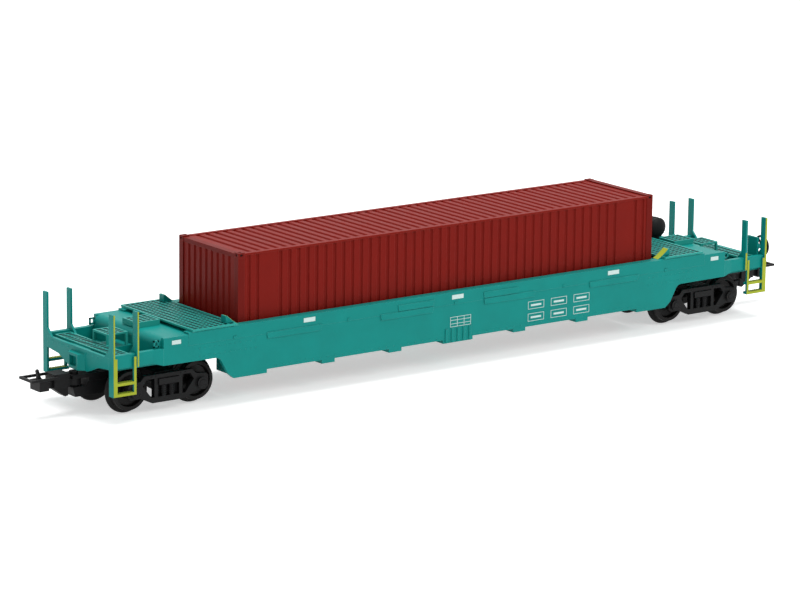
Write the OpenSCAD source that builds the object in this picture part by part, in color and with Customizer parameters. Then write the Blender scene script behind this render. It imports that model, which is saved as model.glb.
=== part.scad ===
// HO scale (1:87) well car with one 40 ft container.
// Heights are measured from the rail head, and X = 0 is the middle of the car.
// The A end is -X, and the B end, with the hand brake, is +X.

/* [Container] */
// Length over the corner castings
cont_l = 140.1; // [135:0.1:145]
// Width over the corner castings
cont_w = 28.0; // [26:0.1:30]
// Height over the corner castings
cont_h = 29.8; // [26:0.1:34]
// Pitch of the ribs in the side walls and the roof
rib_pitch = 2.9; // [2.4:0.1:3.6]
// Depth of the ribs
rib_d = 0.45; // [0.2:0.05:0.6]

/* [Well car] */
// Length over the end sills
body_l = 221; // [214:0.5:236]
// Width over the side sheets
body_w = 34.4; // [33.6:0.1:37]
// Height of the top of the sides
side_top = 20.2; // [19:0.1:23]
// Height of the lower edge of the sides between the cross-bearers
side_low = 7.2; // [6.9:0.1:8]
// Depth of the tabs and cross-bearers below that edge
tab_d = 1.0; // [0.5:0.1:1.5]
// Height of the well floor that the container stands on
floor_z = 8.7; // [8.2:0.1:9.5]
// Thickness of the side sheets
sheet_t = 1.2; // [0.8:0.1:1.3]
// Height of the top chord of the sides
chord_h = 3.4; // [2.4:0.1:4]
// Gap between the container and the end walls of the well
end_gap = 0.9; // [0.5:0.1:1.5]
// Gap between the container and the sides of the well
side_gap = 0.35; // [0.2:0.05:0.5]
// Thickness of the end walls of the well
wall_t = 1.0; // [0.6:0.1:1.2]

/* [Ends] */
// Height of the body bolsters
bolster_top = 19.7; // [19:0.1:21]
// Length of the body bolsters along the car
bolster_l = 8.5; // [7:0.1:10]
// Height of the underside of the end frames
frame_low = 12.6; // [12.4:0.1:13.4]
// Height of the raised gratings
raised_z = 20.9; // [20.9:0.1:22]
// Height of the end platform gratings
platform_z = 16.5; // [16:0.1:17]
// Height of the posts
post_top = 27.8; // [22:0.1:32]
// Width of the flat posts
post_w = 2; // [1.6:0.1:2.4]
// Distance between the two posts of one corner
post_gap = 7.25; // [6.5:0.05:9]

/* [Trucks] */
// Distance between the truck pivots
truck_centres = 181.4; // [178:0.2:190]
// Distance between the axles of one truck
wheelbase = 20.4; // [19:0.1:21.5]
// Tread diameter of the wheels
wheel_d = 10.5; // [9.5:0.1:10.8]
// Depth of the wheel flanges
flange_d = 1.0; // [0.6:0.1:1.1]
// Width of the wheels with the flange
wheel_w = 2.8; // [2.2:0.1:3]
// Distance between the backs of the wheels
back_to_back = 14.5; // [14.2:0.05:14.6]
// Diameter of the axles
axle_d = 2.0; // [1.5:0.1:2.4]
// Diameter of the axle journals
journal_d = 1.4; // [1:0.1:1.6]
// Running clearance on the radius of each journal and pivot
run_gap = 0.08; // [0.03:0.01:0.1]
// Diameter of the truck pivot
pivot_d = 2.6; // [2:0.1:3]

/* [Couplers] */
// Distance from the truck pivot to the coupler pivot
arm_l = 21.1; // [20.5:0.1:23]
// Length from the coupler pivot to the front of the loop
coupler_l = 14.4; // [13.5:0.1:16]
// Width of the loop
loop_w = 6.4; // [6.2:0.1:8]
// Thickness of the loop
loop_t = 0.65; // [0.5:0.05:0.8]

/* [Brake gear] */
// Diameter of the brake wheel
brake_wheel_d = 6.2; // [5:0.1:7]
// Diameter of the air reservoir
tank_d = 5.6; // [4.5:0.1:6.4]
// Length of the air reservoir
tank_l = 10; // [8:0.5:10]

/* [Hidden] */

$fn = 48;
teal = [0.12, 0.55, 0.51];
teal_light = [0.22, 0.68, 0.62];
lime = [0.72, 0.76, 0.22];
black = [0.09, 0.09, 0.10];
red = [0.50, 0.13, 0.11];
red_dark = [0.38, 0.10, 0.09];
steel = [0.60, 0.60, 0.62];

seat = 0.05;           // gap under a piece that rests but can be lifted
air = 0.3;             // gap between pieces that pass each other

// Well
in_w = cont_w / 2 + side_gap;            // inner face of the top chords
out_w = body_w / 2 - 0.35;                // outer face of the side sheets
web_w = out_w - sheet_t;                 // inner face of the side sheets
chord_out = out_w + 0.1;                 // outer face of the top chords
wall_x = cont_l / 2 + end_gap;           // inner face of the end walls
end_x = wall_x + wall_t;                 // outer face of the end walls
tab_low = side_low - tab_d;

// Ends
pivot_x = truck_centres / 2;
sill_x = body_l / 2;                     // outer face of the end sill
sill_t = 1.0;
sill_top = 16.2;
bolster_x0 = pivot_x + 0.85 - bolster_l / 2;
bolster_x1 = bolster_x0 + bolster_l;
sheet_end = bolster_x1 - 0.8;            // where the side sheets stop
centre_w = 3.5;                          // half width of the centre sill
rail_in = 15.0;                          // inner face of the side sills at the ends
rail_out = 16.4;
rail_low = 13.4;
rail_top = 16.9;
post_t = 0.6;
post_in = 15.05;                         // inner edge of the posts
corner_x = sill_x - post_t / 2;          // middle of the corner posts
inner_x = corner_x - post_gap;           // middle of the inner posts
grate_t = 0.5;
step_x = inner_x + 0.8;                  // end of the high part of the centre sill

// Trucks
axle_z = wheel_d / 2;
wheel_r = wheel_d / 2;
flange_r = wheel_r + flange_d;
frame_in = 11.0;                         // inner face of the truck frames
frame_out = 12.9;
bearing_d = 1.1;                         // how far the journals reach into the frames
bowl_z = 10.2;                           // top of the truck bolster's bowl
truck_bolster_low = 6.4;
truck_bolster_w = 3.1;                   // half length of the truck bolster along the car

// Coupler
arm_low = 7.4;
arm_top = 9.4;
shank_low = 6.7;
shank_top = arm_top - 1.05;
box_w = 2.3;                             // half width of the coupler's box
box_x = 2.6;                             // start of the box, from the coupler pivot
loop_z = 9.6;
loop_back = coupler_l - 7.9;             // loop hinge, from the coupler pivot
hinge_r = 0.4;

// Container
cw = cont_w / 2;
cl = cont_l / 2;
c0 = floor_z + seat;                     // underside of the castings
c1 = c0 + cont_h;
casting = [2.05, 1.86, 1.36];            // length, width, height
frame_x = cl - casting[0];               // inner face of the end frames
top_rail_h = 0.8;
roof_z = c1 - 1.4;                       // underside of the roof
low_rail_h = 1.9;
rail_t = 0.9;
header_h = 1.5;

// Cross-bearers: [middle along the car, width]
BEARERS = [[-43.1, 4.2], [-21.1, 4.2], [0, 10], [21.1, 4.2], [43.1, 4.2]];
corner_floor_x = wall_x - 8.15;

// Raised strips on the side sheets: [middle, length, low, high]
STRIPS = [[-54.2, 17.5, 15.5, 17.1], [-17.4, 17.6, 15.5, 17.1], [17.4, 17.6, 15.5, 17.1],
          [54.2, 17.5, 15.5, 17.1], [-14.4, 12, 17.3, 18.9], [14.4, 12, 17.3, 18.9]];

function arc(c, r, a0, a1, n) =
    [for (i = [0 : n]) let (a = a0 + (a1 - a0) * i / n) c + r * [cos(a), sin(a)]];
function flip(pts) = [for (i = [len(pts) - 1 : -1 : 0]) [-pts[i][0], pts[i][1]]];

// Stands the model, drawn from the rail head, on its wheel flanges
module on_flanges() { translate([0, 0, flange_d]) children(); }
// Draws a B end piece at the A end too
module at_end(e) { if (e > 0) children(); else mirror([1, 0, 0]) children(); }
module both_ends() { for (e = [-1, 1]) at_end(e) children(); }
module both_sides() { for (m = [0, 1]) mirror([0, m, 0]) children(); }
// Box from two corners
module box(a, b) { translate(a) cube(b - a); }
// Extrudes an outline in X and Z across the car, from y0 to y1
module across(y0, y1) { translate([0, y1, 0]) rotate([90, 0, 0]) linear_extrude(y1 - y0) children(); }
// Extrudes an outline in Y and Z along the car, from x0 to x1
module along(x0, x1) {
    translate([x0, 0, 0]) rotate([90, 0, 90]) linear_extrude(x1 - x0) children();
}

// ---- Well car ----

// Half outline of a side, from the middle of the top to the middle of the lower edge
function side_outline() = concat(
    [[0, side_top], [bolster_x0, side_top], [bolster_x0, bolster_top],
     [sheet_end, bolster_top], [sheet_end, frame_low - 0.1]],
    arc([end_x + 7, frame_low - 2.4], 2.2, 90, 160, 6),
    [[end_x + 3.1, side_low + 0.5], [end_x + 1.3, tab_low], [corner_floor_x, tab_low],
     [corner_floor_x, side_low], [0, side_low]]);

module side_tabs() {
    for (b = BEARERS)
        translate([b[0] - b[1] / 2, tab_low]) square([b[1], side_low - tab_low + 0.5]);
}

// Left side of the car: sheet, top chord, floor angle and raised strips
module side_wall() {
    bevel = 0.25;
    difference() {
        union() {
            across(web_w, out_w) union() {
                polygon(concat(side_outline(), flip(side_outline())));
                side_tabs();
            }
            box([-bolster_x0, in_w, side_top - chord_h], [bolster_x0, chord_out, side_top]);
            box([-corner_floor_x, in_w, side_low], [corner_floor_x, web_w + 0.1, side_low + 0.8]);
            for (s = STRIPS)
                across(out_w - 0.2, out_w + 0.35)
                    polygon([[s[0] - s[1] / 2 + bevel, s[2]], [s[0] + s[1] / 2 - bevel, s[2]],
                             [s[0] + s[1] / 2, s[3] - bevel], [s[0] + s[1] / 2, s[3]],
                             [s[0] - s[1] / 2, s[3]], [s[0] - s[1] / 2, s[3] - bevel]]);
            for (x = [-4 : 2 : 4])
                box([x - 0.4, out_w - 0.2, tab_low + 0.1], [x + 0.4, out_w + 0.3, tab_low + 4]);
        }
        for (b = BEARERS)
            box([b[0] - b[1] / 2, -1, tab_low - 1], [b[0] + b[1] / 2, web_w, floor_z]);
    }
}
module side_left() { color(teal) side_wall(); }
module side_right() { color(teal) mirror([0, 1, 0]) side_wall(); }

module cross_bearers() {
    color(teal) for (b = BEARERS)
        box([b[0] - b[1] / 2, -web_w, tab_low], [b[0] + b[1] / 2, web_w, floor_z]);
}

// Plates under the container's corners, which leave the middle of the well open
module corner_floors() {
    color(teal) both_ends() both_sides()
        box([corner_floor_x, 7, tab_low], [wall_x, web_w, floor_z]);
}

// End wall of the well, cut out low down for the truck
module well_wall(e) {
    color(teal) at_end(e) difference() {
        along(wall_x, end_x)
            polygon([[-web_w, tab_low], [-6.7, tab_low], [-6.7, 10.5], [6.7, 10.5], [6.7, tab_low],
                     [web_w, tab_low], [web_w, side_top - chord_h], [in_w, side_top - chord_h],
                     [in_w, side_top - 0.6], [-in_w, side_top - 0.6],
                     [-in_w, side_top - chord_h], [-web_w, side_top - chord_h]]);
    }
}

// Body bolster, with a rounded front edge and the centre plate under it
module bolster(e) {
    round_r = 2.2;
    color(teal) at_end(e) {
        across(-web_w, web_w)
            polygon(concat([[bolster_x0, frame_low], [bolster_x1, frame_low]],
                           arc([bolster_x1 - round_r, bolster_top - round_r], round_r, 0, 90, 10),
                           [[bolster_x0, bolster_top]]));
        translate([pivot_x, 0, bowl_z + run_gap]) cylinder(h = frame_low - bowl_z - run_gap, r = 3.6);
    }
}

// Centre sill and floor of the end platform, and the centre sill inside the bolster
module end_frame(e) {
    high = 15.6;
    color(teal) at_end(e) {
        across(-centre_w, centre_w)
            polygon([[bolster_x1, frame_low], [sill_x - sill_t, frame_low],
                     [sill_x - sill_t, platform_z - grate_t], [step_x, platform_z - grate_t],
                     [step_x, high], [bolster_x1, high]]);
        for (s = [-1, 1])
            translate([bolster_x1, s > 0 ? centre_w : -rail_in, frame_low])
                cube([sill_x - sill_t - bolster_x1, rail_in - centre_w, 0.7]);
        box([end_x, -centre_w, frame_low], [bolster_x0, centre_w, side_top - 1.6]);
    }
}

// Closed deck between the well and the bolster, under the raised grating
module end_deck(e) {
    color(teal) at_end(e)
        box([end_x, -in_w, side_top - 1.6], [bolster_x0, in_w, side_top - 0.6]);
}

// Grating tray: a sunk panel in a raised frame
module tray(x0, x1, w, top, t, lip) {
    difference() {
        box([x0, -w, top - t], [x1, w, top]);
        box([x0 + lip, -w + lip, top - 0.2], [x1 - lip, w - lip, top + 1]);
    }
}

module raised_grating(e) {
    x0 = end_x + 0.5;
    x1 = bolster_x0 - 1;
    w = body_w / 2 + 0.2;
    color(teal_light) at_end(e) {
        tray(x0, x1, w, raised_z, grate_t, 0.6);
        both_sides() for (x = [x0, x1 - 0.8])
            box([x, in_w, side_top], [x + 0.8, chord_out, raised_z - grate_t]);
    }
}

// Short gratings on the centre line, on the bolsters and the centre sills
module centre_gratings() {
    color(teal_light) both_ends() {
        tray(bolster_x0 + 0.2, bolster_x1 - 1.2, centre_w, bolster_top + 1.5, 1.5, 0.5);
        tray(bolster_x1 + 1.6, step_x, centre_w, 19.3, 0.5, 0.5);
        both_sides() for (x = [bolster_x1 + 1.6, step_x - 0.6])
            box([x, centre_w - 0.6, 15.6], [x + 0.6, centre_w, 18.8]);
    }
}

module platform_grating(e) {
    color(teal_light) at_end(e) {
        tray(step_x, sill_x - 1.8, 14.25, platform_z, grate_t, 0.5);
        both_sides() for (x = [step_x, sill_x - 2.6])
            box([x, 13, frame_low + 0.7], [x + 0.8, 13.8, platform_z - grate_t]);
    }
}

// End sill with the striker in its middle
module end_sill(e) {
    color(teal) at_end(e) difference() {
        union() {
            along(sill_x - sill_t, sill_x)
                polygon([[-rail_in, 13.2], [-9.5, frame_low], [-4.6, 10.6], [4.6, 10.6],
                         [9.5, frame_low], [rail_in, 13.2], [rail_in, sill_top], [-rail_in, sill_top]]);
            translate([0, 0, 10.6]) linear_extrude(4.2)
                polygon([[sill_x - 0.5, -3.5], [sill_x, -3.5], [sill_x + 1.5, -2.2],
                         [sill_x + 1.5, 2.2], [sill_x, 3.5], [sill_x - 0.5, 3.5]]);
        }
        box([sill_x + 0.2, -1.7, 11.4], [sill_x + 3, 1.7, 14.1]);
    }
}

// Side sills of the end platforms, flared where they meet the side sheets
module end_side_sills() {
    flare_x = sheet_end + 3;
    color(teal) both_ends() both_sides() difference() {
        union() {
            box([flare_x, rail_in, rail_low], [corner_x - post_t / 2, rail_out, rail_top]);
            difference() {
                hull() {
                    box([sheet_end, web_w, frame_low - 0.1], [sheet_end + 0.01, out_w, rail_top + 0.1]);
                    box([flare_x, rail_in, rail_low], [flare_x + 0.01, rail_out, rail_top]);
                }
                box([sheet_end - 1, 0, 0], [bolster_x1, web_w, bolster_top + 1]);
                box([sheet_end - 1, 0, 0], [flare_x + 1, rail_in, frame_low + 0.7]);
            }
        }
        box([inner_x - post_t / 2, 0, 0], [inner_x + post_t / 2, body_w, side_top]);
    }
}

// Flat posts with a gusset at the foot; the corner posts reach down beside the steps
module posts(e) {
    color(teal) at_end(e) both_sides() {
        along(corner_x - post_t / 2, corner_x + post_t / 2)
            polygon([[post_in, tab_low], [post_in + post_w, tab_low], [post_in + post_w, post_top],
                     [post_in, post_top], [post_in, 18.3], [post_in - 2.2, sill_top],
                     [post_in, sill_top]]);
        along(inner_x - post_t / 2, inner_x + post_t / 2)
            polygon([[post_in, rail_low], [post_in + post_w, rail_low],
                     [post_in + post_w, post_top], [post_in, post_top], [post_in, 18.3],
                     [post_in - 2.2, platform_z - grate_t], [post_in, platform_z - grate_t]]);
    }
}

// Ladder steps: a frame with two treads, hung on the outside of the side sills
module steps() {
    x0 = inner_x + post_t / 2 + 0.2;
    x1 = corner_x - post_t / 2;
    bar = 0.7;
    y1 = rail_out + 0.65;
    color(teal) both_ends() both_sides() {
        difference() {
            box([x0, rail_out, tab_low], [x1, y1, sill_top]);
            box([x0 + bar, 0, tab_low + bar], [x1 - bar, body_w, 9]);
            box([x0 + bar, 0, 9 + bar], [x1 - bar, body_w, sill_top + 1]);
        }
        for (z = [tab_low, 9])
            box([x0, rail_out - 0.9, z], [x1, rail_out + 0.1, z + bar]);
    }
}

// Fins with a slanted, hollow face that guide the container's corners into the well
module guides() {
    x0 = end_x + 0.5;
    l = 4.2;
    h = 2.6;
    color(teal) both_ends() both_sides() across(in_w - 0.7, in_w + 1.5)
        polygon(concat([[wall_x, side_top], [x0, side_top], [x0, raised_z], [wall_x + l, raised_z],
                        [wall_x + l, side_top + h], [wall_x + l - 0.5, side_top + h]],
                       [for (i = [5 : -1 : 1]) let (t = i / 6)
                        [wall_x + (l - 0.5) * t, side_top + h * (0.7 * t + 0.3 * t * t)]]));
}

// ---- Brake gear ----

brake_y = -13.1;
brake_z = 18.8;
module brake_housing() {
    color(teal) {
        box([sill_x - sill_t - 0.6, brake_y - 1.7, frame_low + 0.7],
            [sill_x - sill_t, brake_y + 2.4, brake_z + 3]);
        translate([sill_x - sill_t, brake_y, brake_z]) rotate([0, 90, 0]) cylinder(h = 1.4, r = 0.8);
    }
}

module brake_wheel() {
    rim = 0.35;
    x = sill_x + 0.4;
    color(black) translate([x, brake_y, brake_z]) rotate([0, 90, 0]) {
        translate([0, 0, 1.2]) rotate_extrude() translate([brake_wheel_d / 2 - rim, 0]) circle(rim, $fn = 24);
        cylinder(h = 1.7, r = 0.7);
        for (a = [0 : 72 : 359])
            rotate(a) translate([0, -0.2, 1.0]) cube([brake_wheel_d / 2 - rim, 0.4, 0.4]);
    }
}

tank_x = bolster_x0 + 1.3;
tank_y = centre_w + 0.9;
tank_z = bolster_top + 1.05 + tank_d / 2;
module air_reservoir() {
    dome = 1.0;
    r = tank_d / 2;
    color(black) translate([tank_x, tank_y, tank_z]) rotate([-90, 0, 0])
        rotate_extrude() polygon(concat([[0, 0]],
            [for (a = [0 : 10 : 90]) [r * sin(a), dome - dome * cos(a)]],
            [for (a = [90 : -10 : 0]) [r * sin(a), tank_l - dome + dome * cos(a)]]));
}

module reservoir_saddles() {
    color(black) for (y = [tank_y + 2, tank_y + tank_l - 3]) difference() {
        box([tank_x - 1.2, y, bolster_top], [tank_x + 2.2, y + 1, tank_z - tank_d / 2 + 0.8]);
        translate([tank_x, y - 1, tank_z]) rotate([-90, 0, 0]) cylinder(h = 3, d = tank_d + 0.1);
    }
}

// ---- Trucks ----

module pivot_pin(e) {
    color(steel) at_end(e) translate([pivot_x, 0, 0]) {
        translate([0, 0, truck_bolster_low - 0.2])
            cylinder(h = bowl_z + run_gap - truck_bolster_low + 0.2, d = pivot_d);
        translate([0, 0, truck_bolster_low - 0.9]) cylinder(h = 0.8, r = 2.3);
    }
}

// Half outline of a cast truck frame, from the top round to the bottom
function truck_outline() = let (b = wheelbase / 2) [
    [0, 9.2], [b - 2.8, 9.2], [b - 1.6, 7.9], [b + 1.5, 7.6], [b + 2.1, 7.0], [b + 2.1, 4.2],
    [b + 1.3, 3.3], [b - 1.6, 3.4], [b - 5.2, 1.7], [0, 1.7]];

module truck_frames(e) {
    b = wheelbase / 2;
    color(black) at_end(e) translate([pivot_x, 0, 0]) both_sides() difference() {
        union() {
            across(frame_in, frame_out - 0.4) difference() {
                polygon(concat(truck_outline(), flip(truck_outline())));
                translate([-truck_bolster_w - 0.2, 3.2]) square([2 * truck_bolster_w + 0.4, 4.9]);
                for (s = [-1, 1])
                    polygon([[s * 4.3, 8.2], [s * (b - 3.4), 8.2], [s * (b - 2.3), 6.6],
                             [s * (b - 5.0), 3.2], [s * 4.3, 3.2]]);
            }
            for (s = [-1, 1]) translate([s * b, 0, axle_z]) rotate([-90, 0, 0])
                translate([0, 0, frame_in]) cylinder(h = frame_out - frame_in + 0.3, r = 1.5);
            box([-truck_bolster_w - 0.3, frame_in, 3.1],
                [truck_bolster_w + 0.3, frame_in + 0.3, truck_bolster_low - 0.2]);
            for (s = [-1, 1]) translate([s * 1.2, frame_in + 0.75, 3.1])
                cylinder(h = truck_bolster_low - 3.3, r = 0.7);
        }
        for (s = [-1, 1]) translate([s * b, frame_in - 1, axle_z]) rotate([-90, 0, 0])
            cylinder(h = bearing_d + 1, d = journal_d + 2 * run_gap);
    }
}

// Truck bolster: its ends show in the frames' middle windows
module truck_bolster(e) {
    color(black) at_end(e) translate([pivot_x, 0, 0]) difference() {
        union() {
            box([-truck_bolster_w, -frame_in, truck_bolster_low], [truck_bolster_w, frame_in, arm_top]);
            box([-truck_bolster_w, -frame_out, truck_bolster_low], [truck_bolster_w, frame_out, 8.0]);
            translate([0, 0, arm_top]) cylinder(h = bowl_z - arm_top, r = 4);
        }
        translate([0, 0, 5]) cylinder(h = 6, d = pivot_d + 2 * run_gap);
    }
}

// Arm that carries the coupler, over the outer axle
module draft_arm(e) {
    fork = 3.1;
    web_x = wheelbase / 2 + 2;
    color(black) at_end(e) translate([pivot_x, 0, 0]) {
        box([truck_bolster_w, -2.6, arm_low], [arm_l - fork, 2.6, arm_top]);
        box([arm_l - fork - 0.1, -2.6, shank_top + 0.15], [arm_l + 1.7, 2.6, arm_top]);
        across(-2.2, 2.2)
            polygon([[web_x, arm_low + 0.1], [web_x, 5], [web_x + 1.6, 3.6], [arm_l + 0.8, 3.6],
                     [arm_l + 1.6, shank_low - 0.5], [arm_l - 2.4, shank_low - 0.5],
                     [arm_l - fork, arm_low + 0.1]]);
        translate([arm_l, 0, arm_top - 0.1]) cylinder(h = 0.85, r = 1.2);
        translate([arm_l, 0, shank_low - 0.15]) cylinder(h = arm_top - shank_low, r = 0.9);
        translate([arm_l, 0, shank_low - 0.6]) cylinder(h = 0.45, r = 1.35);
    }
}

// Outline of one wheel in radius and width, from the back to the face
function wheel_outline() = [
    [axle_d / 2, 0], [2.2, 0], [2.2, 0.5], [wheel_r - 1.3, 0.7], [wheel_r - 1.0, 0],
    [flange_r - 0.3, 0], [flange_r, 0.3], [flange_r - 0.1, 0.6], [wheel_r, 0.9],
    [wheel_r - 0.1, wheel_w], [wheel_r - 1.0, wheel_w], [wheel_r - 1.3, 1.5], [2.2, 1.3],
    [1.9, wheel_w - 0.2], [axle_d / 2, wheel_w - 0.2]];

// Wheelsets are numbered from the A end
function wheelset_x(n) = (n < 3 ? -1 : 1) * pivot_x + (n % 2 == 1 ? -1 : 1) * wheelbase / 2;

module wheels(n) {
    color(black) translate([wheelset_x(n), 0, axle_z]) both_sides()
        translate([0, back_to_back / 2, 0]) rotate([-90, 0, 0]) rotate_extrude() polygon(wheel_outline());
}

module axle(n) {
    half = frame_in + bearing_d - run_gap;
    neck = back_to_back / 2 + wheel_w;
    color(steel) translate([wheelset_x(n), 0, axle_z]) rotate([-90, 0, 0]) {
        translate([0, 0, -neck]) cylinder(h = 2 * neck, d = axle_d);
        translate([0, 0, -half]) cylinder(h = 2 * half, d = journal_d);
    }
}

// ---- Couplers ----

coupler_x = pivot_x + arm_l;
module coupler(e) {
    head_x = coupler_l - 5.6;
    color(black) at_end(e) translate([coupler_x, 0, 0]) difference() {
        union() {
            translate([0, 0, shank_low]) cylinder(h = shank_top - shank_low, r = 1.9);
            box([0, -1.4, shank_low], [head_x + 0.1, 1.4, shank_top]);
            box([box_x, -box_w, shank_low - 0.1], [loop_back + 0.6, box_w, loop_z + 0.7]);
            across(-1.6, 1.6) polygon([[box_x, 7], [box_x, 4.2], [box_x + 0.9, 4],
                                       [loop_back + 1, shank_low + 0.1], [loop_back + 1, 7]]);
            box([head_x, -2.4, 6.4], [head_x + 2.8, 2.4, 9.0]);
            across(-0.45, 0.45) polygon([[head_x + 0.8, 8.9], [head_x + 2.4, 8.9],
                                         [head_x + 2.1, 10.2], [head_x + 2.5, 11.5],
                                         [head_x + 1.9, 11.9], [head_x + 1.4, 10.2]]);
        }
        translate([0, 0, 5]) cylinder(h = 5, r = 0.9 + run_gap);
        both_sides() translate([loop_back, 1.7, loop_z - 0.2]) rotate([-90, 0, 0])
            cylinder(h = 3, r = hinge_r + run_gap);
    }
}

module loop(e) {
    arm_in = loop_w / 2 - loop_t;
    color(black) at_end(e) translate([coupler_x, 0, 0]) {
        box([coupler_l - loop_t, -loop_w / 2, loop_z - loop_t / 2], [coupler_l, loop_w / 2, loop_z + loop_t / 2]);
        both_sides() {
            box([loop_back, arm_in, loop_z - loop_t / 2], [coupler_l - 0.1, loop_w / 2, loop_z + loop_t / 2]);
            translate([loop_back, 1.8, loop_z - 0.2]) rotate([-90, 0, 0])
                cylinder(h = arm_in - 1.8 + loop_t, r = hinge_r);
        }
    }
}

// ---- Container ----

// Ribbed outline along one axis: n ribs, each a groove with sloped sides, cut into a flat face
function rib_edge(n, face, slope, bottom, pitch = rib_pitch) =
    ribs_at([for (i = [0 : n - 1]) (i - (n - 1) / 2) * pitch], face, slope, bottom);
function ribs_at(places, face, slope, bottom) =
    [for (m = places) each [[m - bottom / 2 - slope, face], [m - bottom / 2, face - rib_d],
              [m + bottom / 2, face - rib_d], [m + bottom / 2 + slope, face]]];

module container_side() {
    face = cw - 0.15;
    inner = cw - 1.3;
    blank = 10.4;                        // from the posts to the regular ribs
    n = floor((2 * (frame_x - blank)) / rib_pitch);
    places = concat([-frame_x + 1.4, -frame_x + 4.1],
                    [for (i = [0 : n]) (i - n / 2) * rib_pitch], [frame_x - 4.1, frame_x - 1.4]);
    translate([0, 0, c0 + low_rail_h]) linear_extrude(cont_h - low_rail_h - top_rail_h)
        polygon(concat([[-frame_x, inner], [-frame_x, face]], ribs_at(places, face, 0.35, 0.6),
                       [[frame_x, face], [frame_x, inner]]));
    box([-frame_x, cw - rail_t - 0.4, c0 + 0.1], [frame_x, cw, c0 + low_rail_h]);
    box([-frame_x, cw - rail_t - 0.4, c1 - top_rail_h], [frame_x, cw, c1 - 0.25]);
}
module container_side_left() { color(red) container_side(); }
module container_side_right() { color(red) mirror([0, 1, 0]) container_side(); }

module container_roof() {
    face = c1 - 0.4;
    n = floor((2 * frame_x - 2.4) / rib_pitch);
    w = cw - rail_t - 0.4;
    color(red) across(-w, w)
        polygon(concat([[-frame_x, roof_z], [-frame_x, face]], rib_edge(n, face, 0.35, 0.7),
                       [[frame_x, face], [frame_x, roof_z]]));
}

module container_floor() {
    w = cw - rail_t - 0.4;
    color(red_dark) box([-frame_x, -w, c0 + 0.4], [frame_x, w, c0 + 1.2]);
}

// Corner posts with the header and the sill of one end
module container_frame(e) {
    y = cw - casting[1];
    color(red_dark) at_end(e) {
        both_sides() box([frame_x, y, c0 + casting[2]], [cl, cw, c1 - casting[2]]);
        box([frame_x, -y, c0 + 0.1], [cl - 0.1, y, c0 + header_h]);
        box([frame_x, -y, c1 - header_h], [cl - 0.1, y, c1 - (e > 0 ? 0.05 : 0.35)]);
    }
}

module container_end_wall() {
    y = cw - casting[1];
    n = 8;
    color(red) translate([0, 0, c0 + header_h]) linear_extrude(cont_h - 2 * header_h) rotate(90)
        polygon(concat([[-y, frame_x], [-y, cl - 0.3]], rib_edge(n, cl - 0.3, 0.35, 0.6, 2.7),
                       [[y, cl - 0.3], [y, frame_x]]));
}

module container_doors() {
    y = cw - casting[1];
    color(red) both_sides()
        box([frame_x + 0.4, 0.08, c0 + header_h], [cl - 0.7, y, c1 - header_h]);
}

module container_lock_rods() {
    r = 0.28;
    color(steel) for (y = [-9, -4, 4, 9])
        translate([cl - 0.7 + r, y, c0 + header_h + 0.2]) cylinder(h = cont_h - 2 * header_h - 0.4, r = r);
}

// Blind oval pocket, cut down from its own Z = 0
module pocket(l, w) {
    translate([0, 0, -0.25]) linear_extrude(1) scale([l / w, 1]) circle(d = w, $fn = 16);
}

// Corner castings with a pocket in each of their three outer faces
module container_castings() {
    h = casting[2];
    mid = [frame_x + casting[0] / 2, cw - casting[1] / 2];
    color(red_dark) both_ends() both_sides() for (low = [0, 1]) difference() {
        z = low == 1 ? c0 : c1 - h;
        box([frame_x, cw - casting[1], z], [cl, cw, z + h]);
        translate([mid[0], cw, z + h / 2]) rotate([-90, 0, 0]) pocket(0.9, 0.64);
        translate([cl, mid[1], z + h / 2]) rotate([0, 90, 0]) rotate(90) pocket(0.84, 0.64);
        translate([mid[0], mid[1], z + (1 - low) * h]) rotate([low * 180, 0, 0]) pocket(1.1, 0.72);
    }
}

on_flanges() {
    side_left();
    side_right();
    cross_bearers();
    corner_floors();
    well_wall(-1);  // well_wall_a
    well_wall(1);  // well_wall_b
    bolster(-1);  // bolster_a
    bolster(1);  // bolster_b
    end_frame(-1);  // end_frame_a
    end_frame(1);  // end_frame_b
    end_deck(-1);  // end_deck_a
    end_deck(1);  // end_deck_b
    raised_grating(-1);  // raised_grating_a
    raised_grating(1);  // raised_grating_b
    centre_gratings();
    platform_grating(-1);  // platform_grating_a
    platform_grating(1);  // platform_grating_b
    end_sill(-1);  // end_sill_a
    end_sill(1);  // end_sill_b
    end_side_sills();
    posts(-1);  // posts_a
    posts(1);  // posts_b
    steps();
    guides();
    brake_housing();
    brake_wheel();
    air_reservoir();
    reservoir_saddles();
    pivot_pin(-1);  // pivot_pin_a
    pivot_pin(1);  // pivot_pin_b
    truck_frames(-1);  // truck_frames_a
    truck_frames(1);  // truck_frames_b
    truck_bolster(-1);  // truck_bolster_a
    truck_bolster(1);  // truck_bolster_b
    draft_arm(-1);  // draft_arm_a
    draft_arm(1);  // draft_arm_b
    wheels(1);  // wheels_1
    wheels(2);  // wheels_2
    wheels(3);  // wheels_3
    wheels(4);  // wheels_4
    axle(1);  // axle_1
    axle(2);  // axle_2
    axle(3);  // axle_3
    axle(4);  // axle_4
    coupler(-1);  // coupler_a
    coupler(1);  // coupler_b
    loop(-1);  // loop_a
    loop(1);  // loop_b
    container_side_left();
    container_side_right();
    container_roof();
    container_floor();
    container_end_wall();
    container_doors();
    container_lock_rods();
    container_frame(-1);  // container_frame_a
    container_frame(1);  // container_frame_b
    container_castings();
}
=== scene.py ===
import math
import bmesh
import bpy
import numpy as np
from mathutils import Matrix, Vector


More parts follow.
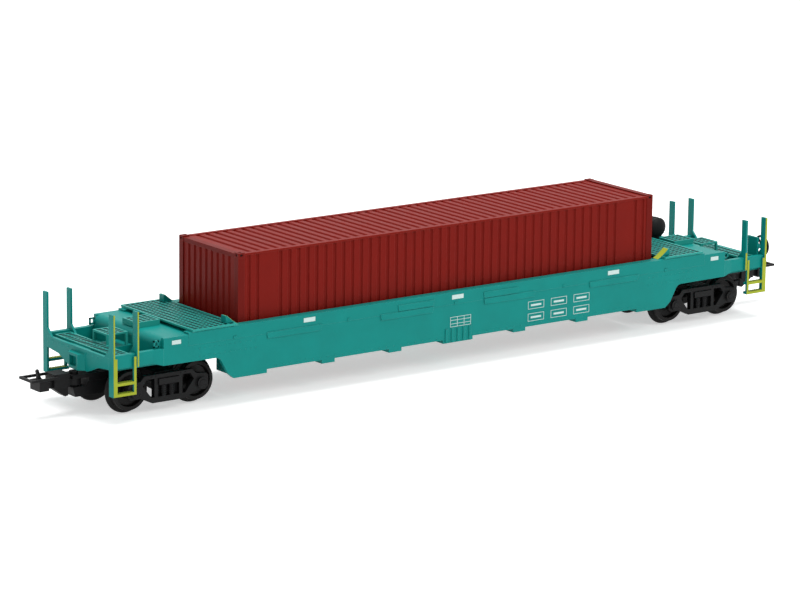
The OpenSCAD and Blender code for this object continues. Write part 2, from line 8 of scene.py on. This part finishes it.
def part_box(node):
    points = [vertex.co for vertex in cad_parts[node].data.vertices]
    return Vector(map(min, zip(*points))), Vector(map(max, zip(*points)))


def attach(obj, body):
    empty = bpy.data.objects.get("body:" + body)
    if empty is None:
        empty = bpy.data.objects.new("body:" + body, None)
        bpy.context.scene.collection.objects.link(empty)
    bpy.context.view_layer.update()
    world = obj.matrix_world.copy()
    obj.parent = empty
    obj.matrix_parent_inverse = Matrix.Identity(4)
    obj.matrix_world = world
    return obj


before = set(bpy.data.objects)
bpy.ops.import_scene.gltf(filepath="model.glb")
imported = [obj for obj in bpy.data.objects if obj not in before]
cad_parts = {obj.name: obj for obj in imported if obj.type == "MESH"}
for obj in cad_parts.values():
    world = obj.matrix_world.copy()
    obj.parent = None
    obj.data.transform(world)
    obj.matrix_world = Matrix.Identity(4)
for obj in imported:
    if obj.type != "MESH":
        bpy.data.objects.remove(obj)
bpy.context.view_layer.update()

# ---- Car body -------------------------------------------------------------
# The sides, well, bolsters, end frames and posts are one family of teal
# plastic mouldings, fixed to each other, with a satin finish whose edges are
# a little paler, partly from wear and partly as a painted highlight.

class Sock:
    """A node's output socket whose operators add Math nodes."""

    def __init__(self, tree, out):
        self.tree, self.out = tree, out

    def math(self, operation, other):
        return node(self.tree, "ShaderNodeMath", {"operation": operation}, {0: self, 1: other})

    def __add__(self, other): return self.math("ADD", other)
    def __sub__(self, other): return self.math("SUBTRACT", other)
    def __mul__(self, other): return self.math("MULTIPLY", other)
    def __radd__(self, other): return self.math("ADD", other)
    def __rmul__(self, other): return self.math("MULTIPLY", other)

    def __rsub__(self, other):
        return node(self.tree, "ShaderNodeMath", {"operation": "SUBTRACT"}, {0: other, 1: self})

    def clamp(self):
        return node(self.tree, "ShaderNodeClamp", {}, {0: self})


def node(tree, kind, settings, links, out=0):
    """Adds one node: its settings first, then a value or a link for each named socket."""
    made = tree.nodes.new(kind)
    for key, value in settings.items():
        setattr(made, key, value)
    for key, value in links.items():
        if isinstance(value, Sock):
            tree.links.new(value.out, made.inputs[key])
        else:
            made.inputs[key].default_value = value
    return Sock(tree, made.outputs[out])


def shade(r, g, b):
    """Linear colour of a paint given as the usual 0 to 255 values."""
    linear = [((c / 255 + 0.055) / 1.055) ** 2.4 if c > 10 else c / 3294.6 for c in (r, g, b)]
    return (*linear, 1.0)


def moulding(name, colour, pale, rough, speck=0.06, edge=0.5, metallic=0.0, gloss=0.16):
    """Moulded plastic: colour drifts by a few percent, edges go towards pale, partly as wear
    and partly as a painted highlight, and a fine grain is in the roughness and the bump."""
    edge_radius, grain_depth = 0.00012, 0.00003          # metres
    grain_strength = 0.16
    drift_scale, grain_scale = 160.0, 5200.0
    drift_rough, grain_rough = 0.10, 0.12                # how far each noise moves the roughness
    mat = bpy.data.materials.new(name)
    mat.use_nodes = True
    tree = mat.node_tree
    shader = tree.nodes["Principled BSDF"]
    place = node(tree, "ShaderNodeTexCoord", {}, {}, "Object")
    drift = node(tree, "ShaderNodeTexNoise", {},
                 {"Vector": place, "Scale": drift_scale, "Detail": 5.0})
    grain = node(tree, "ShaderNodeTexNoise", {},
                 {"Vector": place, "Scale": grain_scale, "Detail": 2.0})
    round_normal = node(tree, "ShaderNodeBevel", {"samples": 4}, {"Radius": edge_radius})
    flat = node(tree, "ShaderNodeNewGeometry", {}, {}, "True Normal")
    along = node(tree, "ShaderNodeVectorMath", {"operation": "DOT_PRODUCT"},
                 {0: round_normal, 1: flat}, "Value")
    # Edges go paler: partly wear, partly a painted highlight along the rims.
    edge_wear_and_highlight = ((1.0 - along) * 3.0 * edge).clamp()
    dark = tuple(c * (1 - 2 * speck) for c in colour[:3]) + (1.0,)
    light = tuple(min(1, c * (1 + 2 * speck)) for c in colour[:3]) + (1.0,)
    body = node(tree, "ShaderNodeMix", {"data_type": "RGBA"}, {0: drift, 6: dark, 7: light}, 2)
    full = node(tree, "ShaderNodeMix", {"data_type": "RGBA"}, {0: edge_wear_and_highlight, 6: body, 7: pale}, 2)
    level = grain * grain_rough + drift * drift_rough + (rough - (grain_rough + drift_rough) / 2)
    normal = node(tree, "ShaderNodeBump", {},
                  {"Strength": grain_strength, "Distance": grain_depth, "Height": grain,
                   "Normal": round_normal})
    tree.links.new(full.out, shader.inputs["Base Color"])
    tree.links.new(level.out, shader.inputs["Roughness"])
    tree.links.new(normal.out, shader.inputs["Normal"])
    shader.inputs["Metallic"].default_value = metallic
    shader.inputs["Specular IOR Level"].default_value = gloss
    return mat


teal = moulding("teal_moulding", shade(7, 140, 133), shade(96, 206, 198), 0.42, edge=0.7,
                gloss=0.14)
rail = 1.0                    # depth of the flanges: heights are in mm from the rail head


def dress(material, *names):
    """Gives CAD nodes a material."""
    for name in names:
        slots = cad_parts[name].data.materials
        slots.clear()
        slots.append(material)


def each_end(*stems):
    """Names of the A and B end nodes of each stem."""
    return [f"{stem}_{end}" for stem in stems for end in "ab"]


dress(teal, "side_left", "side_right", "cross_bearers", "corner_floors", "end_side_sills",
      "brake_housing",
      *each_end("well_wall", "bolster", "end_frame", "end_deck", "end_sill", "posts"))

# ---- Marks and seams of the sides -----------------------------------------
# White reflective plates, a blank table and small blank diagrams are printed on
# thin plates; seam plates and rows of rivets are moulded into the side sheets.

def span(name):
    """Lowest and highest corners of a CAD node, in mm from the rail head."""
    low, high = (np.array(corner) * 1000 - [0, 0, rail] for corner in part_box(name))
    return low.round(3), high.round(3)


corners = np.array([[0, 0, 0], [1, 0, 0], [1, 1, 0], [0, 1, 0],
                    [0, 0, 1], [1, 0, 1], [1, 1, 1], [0, 1, 1]])
quads = np.array([[0, 3, 2, 1], [4, 5, 6, 7], [0, 1, 5, 4],
                  [1, 2, 6, 5], [2, 3, 7, 6], [3, 0, 4, 7]])


def boxes(low, high):
    """Closed boxes, each from its low corner to its high corner, in mm from the rail head: a
    vertex is the low corner's part or the high corner's part along each axis."""
    low, high = np.atleast_2d(low).astype(float), np.atleast_2d(high).astype(float)
    verts = low[:, None] * (1 - corners) + high[:, None] * corners
    faces = quads[None] + 8 * np.arange(len(low))[:, None, None]
    return verts.reshape(-1, 3), faces.reshape(-1, 4).tolist()


def studs(centres, axis, sign, r, h, sides=8):
    """Low domes along an axis: a foot ring of radius r, a ring of 0.7 r at 0.75 h, and a top
    at h."""
    centres = np.atleast_2d(centres).astype(float)
    turn = np.arange(sides) * 2 * math.pi / sides
    u, v = [k for k in range(3) if k != axis]
    rings = []
    for radius, height in ((r, 0.0), (0.7 * r, 0.75 * h)):
        ring = np.zeros((sides, 3))
        ring[:, u], ring[:, v] = radius * np.cos(turn), radius * np.sin(turn)
        ring[:, axis] = sign * height
        rings.append(ring)
    tip = np.zeros((1, 3))
    tip[0, axis] = sign * h
    one = np.vstack(rings + [tip])
    k = np.arange(sides)
    n = (k + 1) % sides
    faces = [[int(a), int(b), int(b) + sides, int(a) + sides] for a, b in zip(k, n)]
    faces += [[int(a) + sides, int(b) + sides, 2 * sides] for a, b in zip(k, n)]
    faces.append(list(range(sides))[::-1])
    if (sign > 0) == (axis == 1):
        faces = [f[::-1] for f in faces]
    step = len(one)
    return ((centres[:, None] + one[None]).reshape(-1, 3),
            [[i + step * c for i in f] for c in range(len(centres)) for f in faces])


def piece(name, shapes, material, body, bevel=0.0, smooth=False, merge=False):
    """One object from several shapes in mm; it rides on a body and takes a slot's finish."""
    verts, faces, start = [], [], 0
    for v, f in shapes:
        verts.append(v)
        faces += [[i + start for i in face] for face in f]
        start += len(v)
    points = (np.vstack(verts) + [0, 0, rail]) / 1000
    mesh = bpy.data.meshes.new(name)
    mesh.from_pydata(points.tolist(), [], faces)
    if merge:
        work = bmesh.new()
        work.from_mesh(mesh)
        bmesh.ops.remove_doubles(work, verts=work.verts, dist=1e-7)
        bmesh.ops.recalc_face_normals(work, faces=work.faces)
        work.to_mesh(mesh)
        work.free()
    mesh.polygons.foreach_set("use_smooth", [smooth] * len(mesh.polygons))
    mesh.materials.append(material)
    made = bpy.data.objects.new(name, mesh)
    bpy.context.scene.collection.objects.link(made)
    if bevel:
        cut = made.modifiers.new("edges", "BEVEL")
        cut.width, cut.segments, cut.limit_method = bevel / 1000, 2, "ANGLE"
    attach(made, body)


def both(shape):
    """A shape for the right side (-Y), and its mirror for the left side."""
    v, f = shape
    return [(v, f), (v * [1, -1, 1], [face[::-1] for face in f])]


def ends(shape):
    """A shape for the B end (+X), and its mirror for the A end."""
    v, f = shape
    return [(v, f), (v * [-1, 1, 1], [face[::-1] for face in f])]


print_white = moulding("printed_white", shade(214, 236, 232), shade(236, 246, 244), 0.5, 0.03, 0.2)
sheet_y = span("end_side_sills")[1][1]      # outer face of the side sheets
chord_y = sheet_y + 0.1                     # and of the top chords
thin = 0.05                                 # thickness of a printed plate

# Each plate: start, end, low edge, high edge, face it lies on
plates = [(-51.2, -47.5, 18.2, 19.4, chord_y), (-2.3, 1.6, 18.2, 19.4, chord_y),
          (52.0, 56.0, 18.2, 19.4, chord_y),
          (-92.5, -89.7, 17.7, 18.8, sheet_y), (89.7, 92.5, 17.7, 18.8, sheet_y)]
low = [[x0, -y - thin, z0] for x0, x1, z0, z1, y in plates]
high = [[x1, -y, z1] for x0, x1, z0, z1, y in plates]
piece("reflectors", both(boxes(low, high)), print_white, "car")

line = 0.14                                 # width of a printed line


def outline(x0, x1, z0, z1):
    """Four thin bars round a rectangle on the side sheet."""
    bars = [(x0, x1, z0, z0 + line), (x0, x1, z1 - line, z1), (x0, x0 + line, z0 + line, z1 - line),
            (x1 - line, x1, z0 + line, z1 - line)]
    return ([[a, -sheet_y - thin, c] for a, b, c, d in bars],
            [[b, -sheet_y, d] for a, b, c, d in bars])


table_x0, table_x1, table_z0, table_z1 = -2.7, 4.3, 10.5, 13.3
diagrams = [(x, z) for x in (24, 32, 40) for z in (8.6, 12.0)]
frames = [(table_x0, table_x1, table_z0, table_z1)]
frames += [(x, x + 5.6, z, z + 2.2) for x, z in diagrams]
lows, highs = [], []
for f in frames:
    a, b = outline(*f)
    lows += a
    highs += b
for x in (-0.4, 1.9):                        # the table's columns
    lows.append([x, -sheet_y - thin, table_z0 + line])
    highs.append([x + line, -sheet_y, table_z1 - line])
for z in (11.3, 12.3):                       # and its rows, a hair lower than the columns
    lows.append([table_x0 + line, -sheet_y - 0.8 * thin, z])
    highs.append([table_x1 - line, -sheet_y, z + line])
for x, z in diagrams:                        # a plain bar in each diagram
    lows.append([x + 1.0, -sheet_y - thin, z + 0.8])
    highs.append([x + 4.6, -sheet_y, z + 1.35])
piece("side_marks", both(boxes(lows, highs)), print_white, "car")

# Small ribs between the strips on the chord
gap_x = [-73.0, -36.5, -1.0, 36.5, 73.0]
low = [[x - 0.5, -chord_y - 0.2, 16.8] for x in gap_x]
high = [[x + 0.5, -chord_y, 17.5] for x in gap_x]
piece("chord_ribs", both(boxes(low, high)), teal, "car", bevel=0.04)

# Two rows of rivets beside each truck, and one along the lower edge
rivet_x = np.concatenate([np.arange(-84, -66, 1.6), np.arange(67, 85, 1.6)])
edge_x = np.arange(-60, 60.1, 2.4)
rows = [np.stack([x, np.full_like(x, -sheet_y), np.full_like(x, z)], 1)
        for x, z in ((rivet_x, 13.6), (rivet_x, 15.6), (edge_x, 7.9))]
piece("side_rivets", both(studs(np.vstack(rows), 1, -1, 0.17, 0.12)), teal, "car",
      smooth=True)

# ---- Gratings -------------------------------------------------------------
# Each walkway is an open steel mesh on the prototype, here a moulded tray with
# crossed bars in its sunken panel, over a dark panel of painted shade.

# The grating ground is teal painted near-black: painted shade between the bars.
painted_shade_teal = moulding("grating_painted_shade", shade(3, 34, 33), shade(6, 48, 46), 0.7)
bar_teal = moulding("grating_bars", shade(40, 158, 148), shade(110, 206, 196), 0.42)
dress(bar_teal, "centre_gratings", *each_end("raised_grating", "platform_grating"))
pitch, bar_w = 1.5, 0.34
sunk, drop = 0.2, 0.12                      # depth of the panel, and of the bars' undersides


def lattice(x0, x1, w, top, lip):
    """Bars both ways at one pitch inside the tray's rim; the cross bars lie a hair lower, so
    that no two faces share a plane."""
    a0, a1, b = x0 + lip, x1 - lip, w - lip
    xs = np.linspace(a0, a1, int((a1 - a0) / pitch) + 1)[1:-1] - bar_w / 2
    ys = np.linspace(-b, b, int(2 * b / pitch) + 1)[1:-1] - bar_w / 2
    low = [[x, -b, top - drop] for x in xs] + [[a0, y, top - drop] for y in ys]
    high = [[x + bar_w, b, top] for x in xs] + [[a1, y + bar_w, top - 0.03] for y in ys]
    return boxes(low, high)


def ground(x0, x1, w, top, lip):
    """The dark panel that shows between the bars: painted shade under the open mesh."""
    return boxes([[x0 + lip, -w + lip, top - sunk]], [[x1 - lip, w - lip, top - drop]])


def tray(name, lip):
    """Start, end, half width, top and width of the rim of a CAD tray."""
    low, high = span(name)
    return low[0], high[0], high[1], high[2], lip


trays = {"raised": tray("raised_grating_b", 0.6), "bolster_step": (87.5, 94.6, 3.5, 21.2, 0.5),
         "sill_step": (97.4, 103.75, 3.5, 19.3, 0.5), "platform": tray("platform_grating_b", 0.5)}
for key, size in trays.items():
    piece(f"{key}_mesh", ends(lattice(*size)), bar_teal, "car")
    piece(f"{key}_ground", ends(ground(*size)), painted_shade_teal, "car")

# ---- Posts and end sills --------------------------------------------------
# The posts are flat strips whose edges are painted lime, as are the slanted faces
# of the container guides. The end sill has a row of rivets.

lime = moulding("lime_paint", shade(170, 182, 50), shade(208, 216, 104), 0.45)
dress(teal, "steps", "guides")
skin = 0.05                                 # thickness of the paint
post_half = 0.3                             # half the width of a post
(post_x0, _, corner_foot), (post_x1, post_y, post_top) = span("posts_b")
inner_x, corner_x = post_x0 + post_half, post_x1 - post_half
inner_foot = 13.4
narrow = 0.12                               # the A end's paint stops short of the outer edge
short_top = 18.4                            # the B end's inner posts are painted up to here


def post_edge(x0, x1, foot, top):
    """A strip of paint on the outer faces of a pair of posts, one on each side of the car."""
    return both(boxes([[x0, -post_y - skin, foot]], [[x1, -post_y, top]]))


edges = (post_edge(corner_x - post_half, corner_x + narrow, corner_foot, post_top)
         + post_edge(inner_x - post_half, inner_x + narrow, inner_foot, post_top))
piece("post_edges_a", [(v * [-1, 1, 1], [f[::-1] for f in faces]) for v, faces in edges], lime,
      "car")
edges = (post_edge(corner_x - post_half, corner_x + post_half, corner_foot, post_top)
         + post_edge(inner_x - post_half, inner_x + post_half, inner_foot, short_top))
piece("post_edges_b", edges, lime, "car")


def band(points, y0, y1, thick):
    """A strip laid on a line of (x, z) points, from y0 to y1: its upper face is the line moved
    by the thickness along the line's own normal."""
    p = np.array(points, float)
    d = np.gradient(p, axis=0)
    up = np.stack([-d[:, 1], d[:, 0]], 1) / np.hypot(d[:, 0], d[:, 1])[:, None]
    loop = np.stack([p, p + thick * up], 1)
    rows = [np.stack([loop[:, j, 0], np.full(len(p), y), loop[:, j, 1]], 1)
            for j, y in ((0, y0), (0, y1), (1, y1), (1, y0))]
    grid = np.stack(rows, 1).reshape(-1, 3)
    faces = [[4 * i + j, 4 * i + (j + 1) % 4, 4 * i + 4 + (j + 1) % 4, 4 * i + 4 + j]
             for i in range(len(p) - 1) for j in range(4)]
    last = 4 * len(p) - 4
    return grid, faces + [[3, 2, 1, 0], [last, last + 1, last + 2, last + 3]]


# A guide's face rises from the top of the side at the well's end, with a little hollow
(_, _, side_top), (_, guide_out, guide_top) = span("guides")
well_x = span("well_wall_b")[0][0]
guide_l, guide_in = 3.7, 13.65
t = np.linspace(0, 1, 9)
rise = (guide_top - side_top) * (0.7 * t + 0.3 * t * t)
slope = np.stack([well_x + guide_l * t, side_top + rise], 1)
guides = both(band(slope, -guide_out, -guide_in, skin))
piece("guide_faces", [e for shape in guides for e in ends(shape)], lime, "car",
      merge=True)

# The sill is 1 mm thick, and its rivets leave out the striker
sill_x = span("end_sill_b")[0][0] + 1.0
sill_bolt_z, striker_half = 15.3, 3.6
sill_y = np.arange(-12, 12.1, 2.4)
sill_y = sill_y[abs(sill_y) > striker_half]
bolts = np.stack([np.full_like(sill_y, sill_x), sill_y, np.full_like(sill_y, sill_bolt_z)], 1)
piece("end_sill_rivets", ends(studs(bolts, 0, 1, 0.2, 0.14)), teal, "car",
      smooth=True)

# ---- Steps and brake gear -------------------------------------------------
# The ladder steps are painted lime on their faces and treads, which have raised
# bars. The reservoir is a black tank held down by straps.

(_, _, step_foot), (step_x1, _, step_top) = span("steps")
step_x0, bar = 103.45, 0.7
tread_z, tread_in, coat = (step_foot, 9.0), 15.55, 0.03
low = [[step_x0, -post_y - skin, step_foot], [step_x1 - bar, -post_y - skin, step_foot]]
high = [[step_x0 + bar, -post_y, step_top], [step_x1, -post_y, step_top]]
for z in tread_z:
    low.append([step_x0 + bar, -post_y - skin, z])
    high.append([step_x1 - bar, -post_y, z + bar])
    low.append([step_x0 + bar, -post_y, z + bar])
    high.append([step_x1 - bar, -tread_in, z + bar + coat])
steps = both(boxes(low, high))
piece("step_faces", [e for shape in steps for e in ends(shape)], lime, "car")
tread = np.array([[104.5 + i * 0.75, -17.0, z + bar + coat] for i in range(7) for z in tread_z])
ridges = both(boxes(tread, tread + [0.25, 1.4, 0.08]))
piece("tread_bars", [e for shape in ridges for e in ends(shape)], lime, "car")

# A small square eye for lashings stands out from each outer corner of the bolsters
low = [[95.7, -15.7, 17.3], [96.9, -15.7, 17.3], [95.7, -15.7, 17.3], [95.7, -15.7, 18.7]]
high = [[96.1, -15.2, 19.1], [97.3, -15.2, 19.1], [97.3, -15.2, 17.7], [97.3, -15.2, 19.1]]
eyes = both(boxes(low, high))
piece("lashing_eyes", [e for shape in eyes for e in ends(shape)], teal, "car")

black = moulding("black_moulding", shade(17, 17, 18), shade(58, 58, 62), 0.5, 0.08, 0.6)
dress(black, "brake_wheel", "air_reservoir", "reservoir_saddles",
      *each_end("truck_frames", "truck_bolster", "draft_arm", "coupler", "loop"))


def turned(profile, centre, axis, sides=32):
    """Profile (place along the axis, radius) carried round the axis through centre: a point is
    the radius times (cos, sin) of the turn. Radii of 0 close it."""
    profile = np.array(profile, float)
    turn = np.arange(sides) * 2 * math.pi / sides
    u, v = [k for k in range(3) if k != axis]
    grid = np.zeros((len(profile), sides, 3))
    grid[:, :, axis] = profile[:, 0, None]
    grid[:, :, u] = profile[:, 1, None] * np.cos(turn)
    grid[:, :, v] = profile[:, 1, None] * np.sin(turn)
    k = np.arange(sides)
    n = (k + 1) % sides
    rows = np.arange(len(profile) - 1)[:, None] * sides
    faces = np.stack([rows + k, rows + n, rows + sides + n, rows + sides + k], -1).reshape(-1, 4)
    return (grid + np.array(centre, float)).reshape(-1, 3), faces.tolist()


def ring(r0, r1, a0, a1, centre, axis, sides=32):
    """A closed band between two radii and two places along an axis."""
    return turned([(a0, r0), (a1, r0), (a1, r1), (a0, r1), (a0, r0)], centre, axis, sides)


tank, under_skin = (88.6, 0, 23.55), 2.78   # the tank's radius is 2.8
straps = [ring(under_skin, 2.9, y, y + 0.5, tank, 1) for y in (6.7, 11.7)]
straps += [ring(under_skin, 2.86, y, y + 0.2, tank, 1) for y in (5.3, 13.3)]    # the end seams
piece("reservoir_straps", straps, black, "car", merge=True)

# ---- Trucks ---------------------------------------------------------------
# Cast three-piece frames in black plastic: coil springs in the middle window,
# bearing caps with three bolts, and bolts along the top of the frame.

def coil(x, y, z0, z1, r, wire, turns, sides=6):
    """A round wire carried up a helix of radius r: a centre line of (r cos a, r sin a, rising
    z), with a ring of the wire's radius round each point, and closed ends."""
    t = np.linspace(0, 1, turns * 12 + 1)
    a = 2 * math.pi * turns * t
    mid = np.stack([x + r * np.cos(a), y + r * np.sin(a), z0 + (z1 - z0) * t], 1)
    out = np.stack([np.cos(a), np.sin(a), 0 * a], 1)
    b = np.arange(sides) * 2 * math.pi / sides
    up = np.array([0, 0, 1.0])
    round_wire = np.cos(b)[None, :, None] * out[:, None] + np.sin(b)[None, :, None] * up
    grid = mid[:, None] + wire * round_wire
    k = np.arange(sides)
    n = (k + 1) % sides
    rows = np.arange(len(t) - 1)[:, None] * sides
    faces = np.stack([rows + k, rows + n, rows + sides + n, rows + sides + k], -1)
    faces = faces.reshape(-1, 4).tolist()
    last = (len(t) - 1) * sides
    return grid.reshape(-1, 3), faces + [list(range(sides))[::-1], [last + i for i in range(sides)]]


def middle(name):
    """Middle of a CAD node's box, in mm from the rail head."""
    low, high = span(name)
    return (low + high) / 2


pivot_x = middle("pivot_pin_b")[0]
axle_x, _, axle_z = middle("axle_4")
axle_dx = axle_x - pivot_x
bearing_y = span("truck_frames_b")[1][1]
frame_y, bolt_r = bearing_y - 0.7, 1.2
cap_y, cap_in = bearing_y + 0.15, bearing_y - 0.05
cap = [(-cap_y, 0), (-cap_y, 0.8), (-bearing_y, 0.95), (-cap_in, 0.95), (-cap_in, 0)]
for end, side in (("a", -1), ("b", 1)):
    mid = side * pivot_x
    springs, caps, bolts = [], [], []
    for sx in (-1.2, 1.2):
        springs += both(coil(mid + sx, -11.75, 3.35, 6.25, 0.78, 0.13, 5))
    for sx in (-axle_dx, axle_dx):
        caps += both(turned(cap, (mid + sx, 0, axle_z), 1, 20))
        for a in np.radians((90, 210, 330)):
            dx, dz = bolt_r * math.cos(a), bolt_r * math.sin(a)
            bolts.append([mid + sx + dx, -bearing_y, axle_z + dz])
    for sx in (-5.2, -3.8, 3.8, 5.2):
        bolts.append([mid + sx, -frame_y, 8.7])
    body = f"truck_{end}"
    piece(f"springs_{end}", springs, black, body, smooth=True, merge=True)
    piece(f"bearing_caps_{end}", caps, black, body, merge=True)
    piece(f"truck_bolts_{end}", both(studs(bolts, 1, -1, 0.2, 0.15)), black, body,
          smooth=True)

# ---- Wheels and axles -----------------------------------------------------
# Black plastic wheels are pressed on turned steel axles, and each truck turns on
# a steel pin.

wheel_black = moulding("wheel_black", shade(20, 19, 19), shade(74, 72, 70), 0.4, 0.08, 0.7)
steel = moulding("turned_steel", shade(150, 150, 153), shade(205, 205, 206), 0.3, 0.05, 0.4,
                 metallic=1.0)
dress(wheel_black, *[f"wheels_{n}" for n in range(1, 5)])
dress(steel, *[f"axle_{n}" for n in range(1, 5)], *each_end("pivot_pin"))

# ---- Container ------------------------------------------------------------
# A ribbed box in brick red plastic with separate corner castings, and doors
# with rods, brackets, handles and hinges at the B end.

brick = moulding("brick_red_moulding", shade(126, 22, 13), shade(198, 84, 72), 0.46, 0.05, 0.8,
                 gloss=0.09)
brick_dark = moulding("brick_red_frame", shade(112, 19, 12), shade(180, 72, 60), 0.46, 0.05, 0.7,
                      gloss=0.09)
# A near-black red, painted shade for the holes in the corner castings.
hollow = moulding("casting_hole_shade", shade(30, 8, 8), shade(40, 12, 12), 0.7, 0.03, 0.1)
dress(brick, "container_side_left", "container_side_right", "container_roof", "container_end_wall",
      "container_doors")
dress(brick_dark, "container_floor", "container_lock_rods", "container_castings",
      *each_end("container_frame"))
(_, _, base), (cast_x1, cast_y1, top) = span("container_castings")
cast_l, cast_w, cast_h = 2.05, 1.86, 1.36   # size of one casting
cast_x, cast_y = cast_x1 - cast_l / 2, cast_y1 - cast_w / 2
pocket_d, shadow = 0.25, 0.02               # depth of its pockets, and of the dark plate in each


def oval(centre, axis, half_u, half_v, depth, sides=20):
    """A flat closed oval plate: u and v are the two other axes in X, Y, Z order."""
    turn = np.arange(sides) * 2 * math.pi / sides
    u, v = [k for k in range(3) if k != axis]
    rings = []
    for d in (0.0, depth):
        r = np.zeros((sides, 3))
        r[:, u], r[:, v], r[:, axis] = half_u * np.cos(turn), half_v * np.sin(turn), d
        rings.append(r + np.array(centre, float))
    faces = [[i, (i + 1) % sides, (i + 1) % sides + sides, i + sides] for i in range(sides)]
    return np.vstack(rings), faces + [list(range(sides))[::-1], list(range(sides, 2 * sides))]


# A thin dark plate in each pocket of the castings is painted shade.
holes = []
for z in (base + cast_h / 2, top - cast_h / 2):
    for e in (-1, 1):
        holes += both(oval((e * cast_x, pocket_d - cast_y1, z), 1, 0.44, 0.31, -shadow))
        holes += both(oval((e * (cast_x1 - pocket_d), -cast_y, z), 0, 0.41, 0.31, e * shadow))
for e in (-1, 1):
    holes += both(oval((e * cast_x, -cast_y, top - pocket_d), 2, 0.54, 0.35, shadow))
piece("casting_holes", holes, hollow, "container", merge=True)

face_x = span("container_doors")[1][0]      # outer face of the doors
rod_y = (-9, -4, 4, 9)
low, high = [], []
for y in rod_y:
    for z in (12.6, 20.0, 27.4, 34.6):      # rod brackets
        low.append([face_x, y - 0.5, z])
        high.append([face_x + 0.68, y + 0.5, z + 0.5])
for y in (-11.9, 11.2):
    for z in (12.4, 18.4, 24.4, 30.4, 34.4):    # hinges
        low.append([face_x, y, z])
        high.append([face_x + 0.4, y + 0.7, z + 1.0])
for y in rod_y:                             # handles, which point to the middle
    grip = y + (2.6 if y < 0 else -2.6)
    low.append([face_x + 0.1, min(y, grip), 18.0])
    high.append([face_x + 0.45, max(y, grip), 18.35])
piece("door_gear", [boxes(low, high)], brick_dark, "container", bevel=0.03)
seal = moulding("seal", shade(34, 20, 20), shade(60, 40, 40), 0.6)
piece("door_seal", [boxes([[face_x - 0.02, -0.3, 11.0]], [[face_x + 0.12, 0.3, 36.3]])], seal,
      "container")

# ---- Stage ----------------------------------------------------------------
# A pale floor, three wide soft lamps and an even white surround. None of them is
# part of the model.

def lamp(name, place, size, power):
    """A square area lamp that faces the car."""
    data = bpy.data.lights.new(name, "AREA")
    data.shape, data.size, data.energy = "SQUARE", size, power
    made = bpy.data.objects.new(name, data)
    made.location = place
    made.rotation_euler = (Vector((0, 0, 0.02)) - Vector(place)).to_track_quat("-Z", "Y").to_euler()
    bpy.context.scene.collection.objects.link(made)


lamp("key", (0.35, -0.9, 0.75), 0.5, 4.4)
lamp("top", (0.1, 0.1, 1.1), 0.6, 9.5)
lamp("fill", (-0.9, -0.3, 0.4), 0.6, 0.8)

world = bpy.data.worlds.new("surround")
bpy.context.scene.world = world
world.use_nodes = True
sky = world.node_tree


def seen_rays(tree):
    """1 for a camera, glossy or transmission ray, and 0 for a ray that lights the model."""
    rays = tree.nodes.new("ShaderNodeLightPath")
    camera, glossy, through = (Sock(tree, rays.outputs[f"Is {kind} Ray"])
                               for kind in ("Camera", "Glossy", "Transmission"))
    return (camera + glossy + through).clamp()


ambient = 0.35                              # strength of the surround where it only lights
sky.nodes["Background"].inputs["Color"].default_value = (1, 1, 1, 1)
strength = seen_rays(sky) * (1 - ambient) + ambient
sky.links.new(strength.out, sky.nodes["Background"].inputs["Strength"])

floor_mesh = bpy.data.meshes.new("floor")
w = 4.0                                     # half the floor's width, in metres
floor_mesh.from_pydata([(-w, -w, 0), (w, -w, 0), (w, w, 0), (-w, w, 0)], [], [(0, 1, 2, 3)])
floor = bpy.data.objects.new("floor", floor_mesh)
bpy.context.scene.collection.objects.link(floor)
paper = bpy.data.materials.new("floor")
paper.use_nodes = True
floor_mesh.materials.append(paper)
tree = paper.node_tree
matt = tree.nodes["Principled BSDF"]
matt.inputs["Base Color"].default_value = (0.86, 0.86, 0.86, 1)
matt.inputs["Roughness"].default_value = 0.8
matt.inputs["Specular IOR Level"].default_value = 0.1
matt.inputs["Emission Strength"].default_value = 0.5
glow = node(tree, "ShaderNodeMix", {"data_type": "RGBA"},
            {0: seen_rays(tree), 6: (0, 0, 0, 1), 7: (1, 1, 1, 1)}, 2)
tree.links.new(glow.out, matt.inputs["Emission Color"])

# ---- Camera ---------------------------------------------------------------
# A long lens looks at the whole model from low over the near side of the A end,
# with a very slight roll.

turn, lift, roll = math.radians(-36.512), math.radians(13.043), math.radians(0.707)
aside, above, distance = -5.641, 14.131, 1100.134    # mm from the car's middle, at the rail head
away = Vector((math.sin(turn) * math.cos(lift), -math.cos(turn) * math.cos(lift), math.sin(lift)))
right0 = Vector((math.cos(turn), math.sin(turn), 0))
up0 = away.cross(right0)
right = right0 * math.cos(roll) + up0 * math.sin(roll)
up = up0 * math.cos(roll) - right0 * math.sin(roll)
place = (right * aside + up * above + away * distance) / 1000 + Vector((0, 0, rail / 1000))
lens = bpy.data.cameras.new("camera")
lens.sensor_width, lens.lens = 36.0, 180.15
camera = bpy.data.objects.new("camera", lens)
camera.matrix_world = Matrix.Translation(place) @ Matrix((right, up, away)).transposed().to_4x4()
bpy.context.scene.collection.objects.link(camera)
bpy.context.scene.camera = camera
bpy.context.scene.view_settings.view_transform = "Standard"
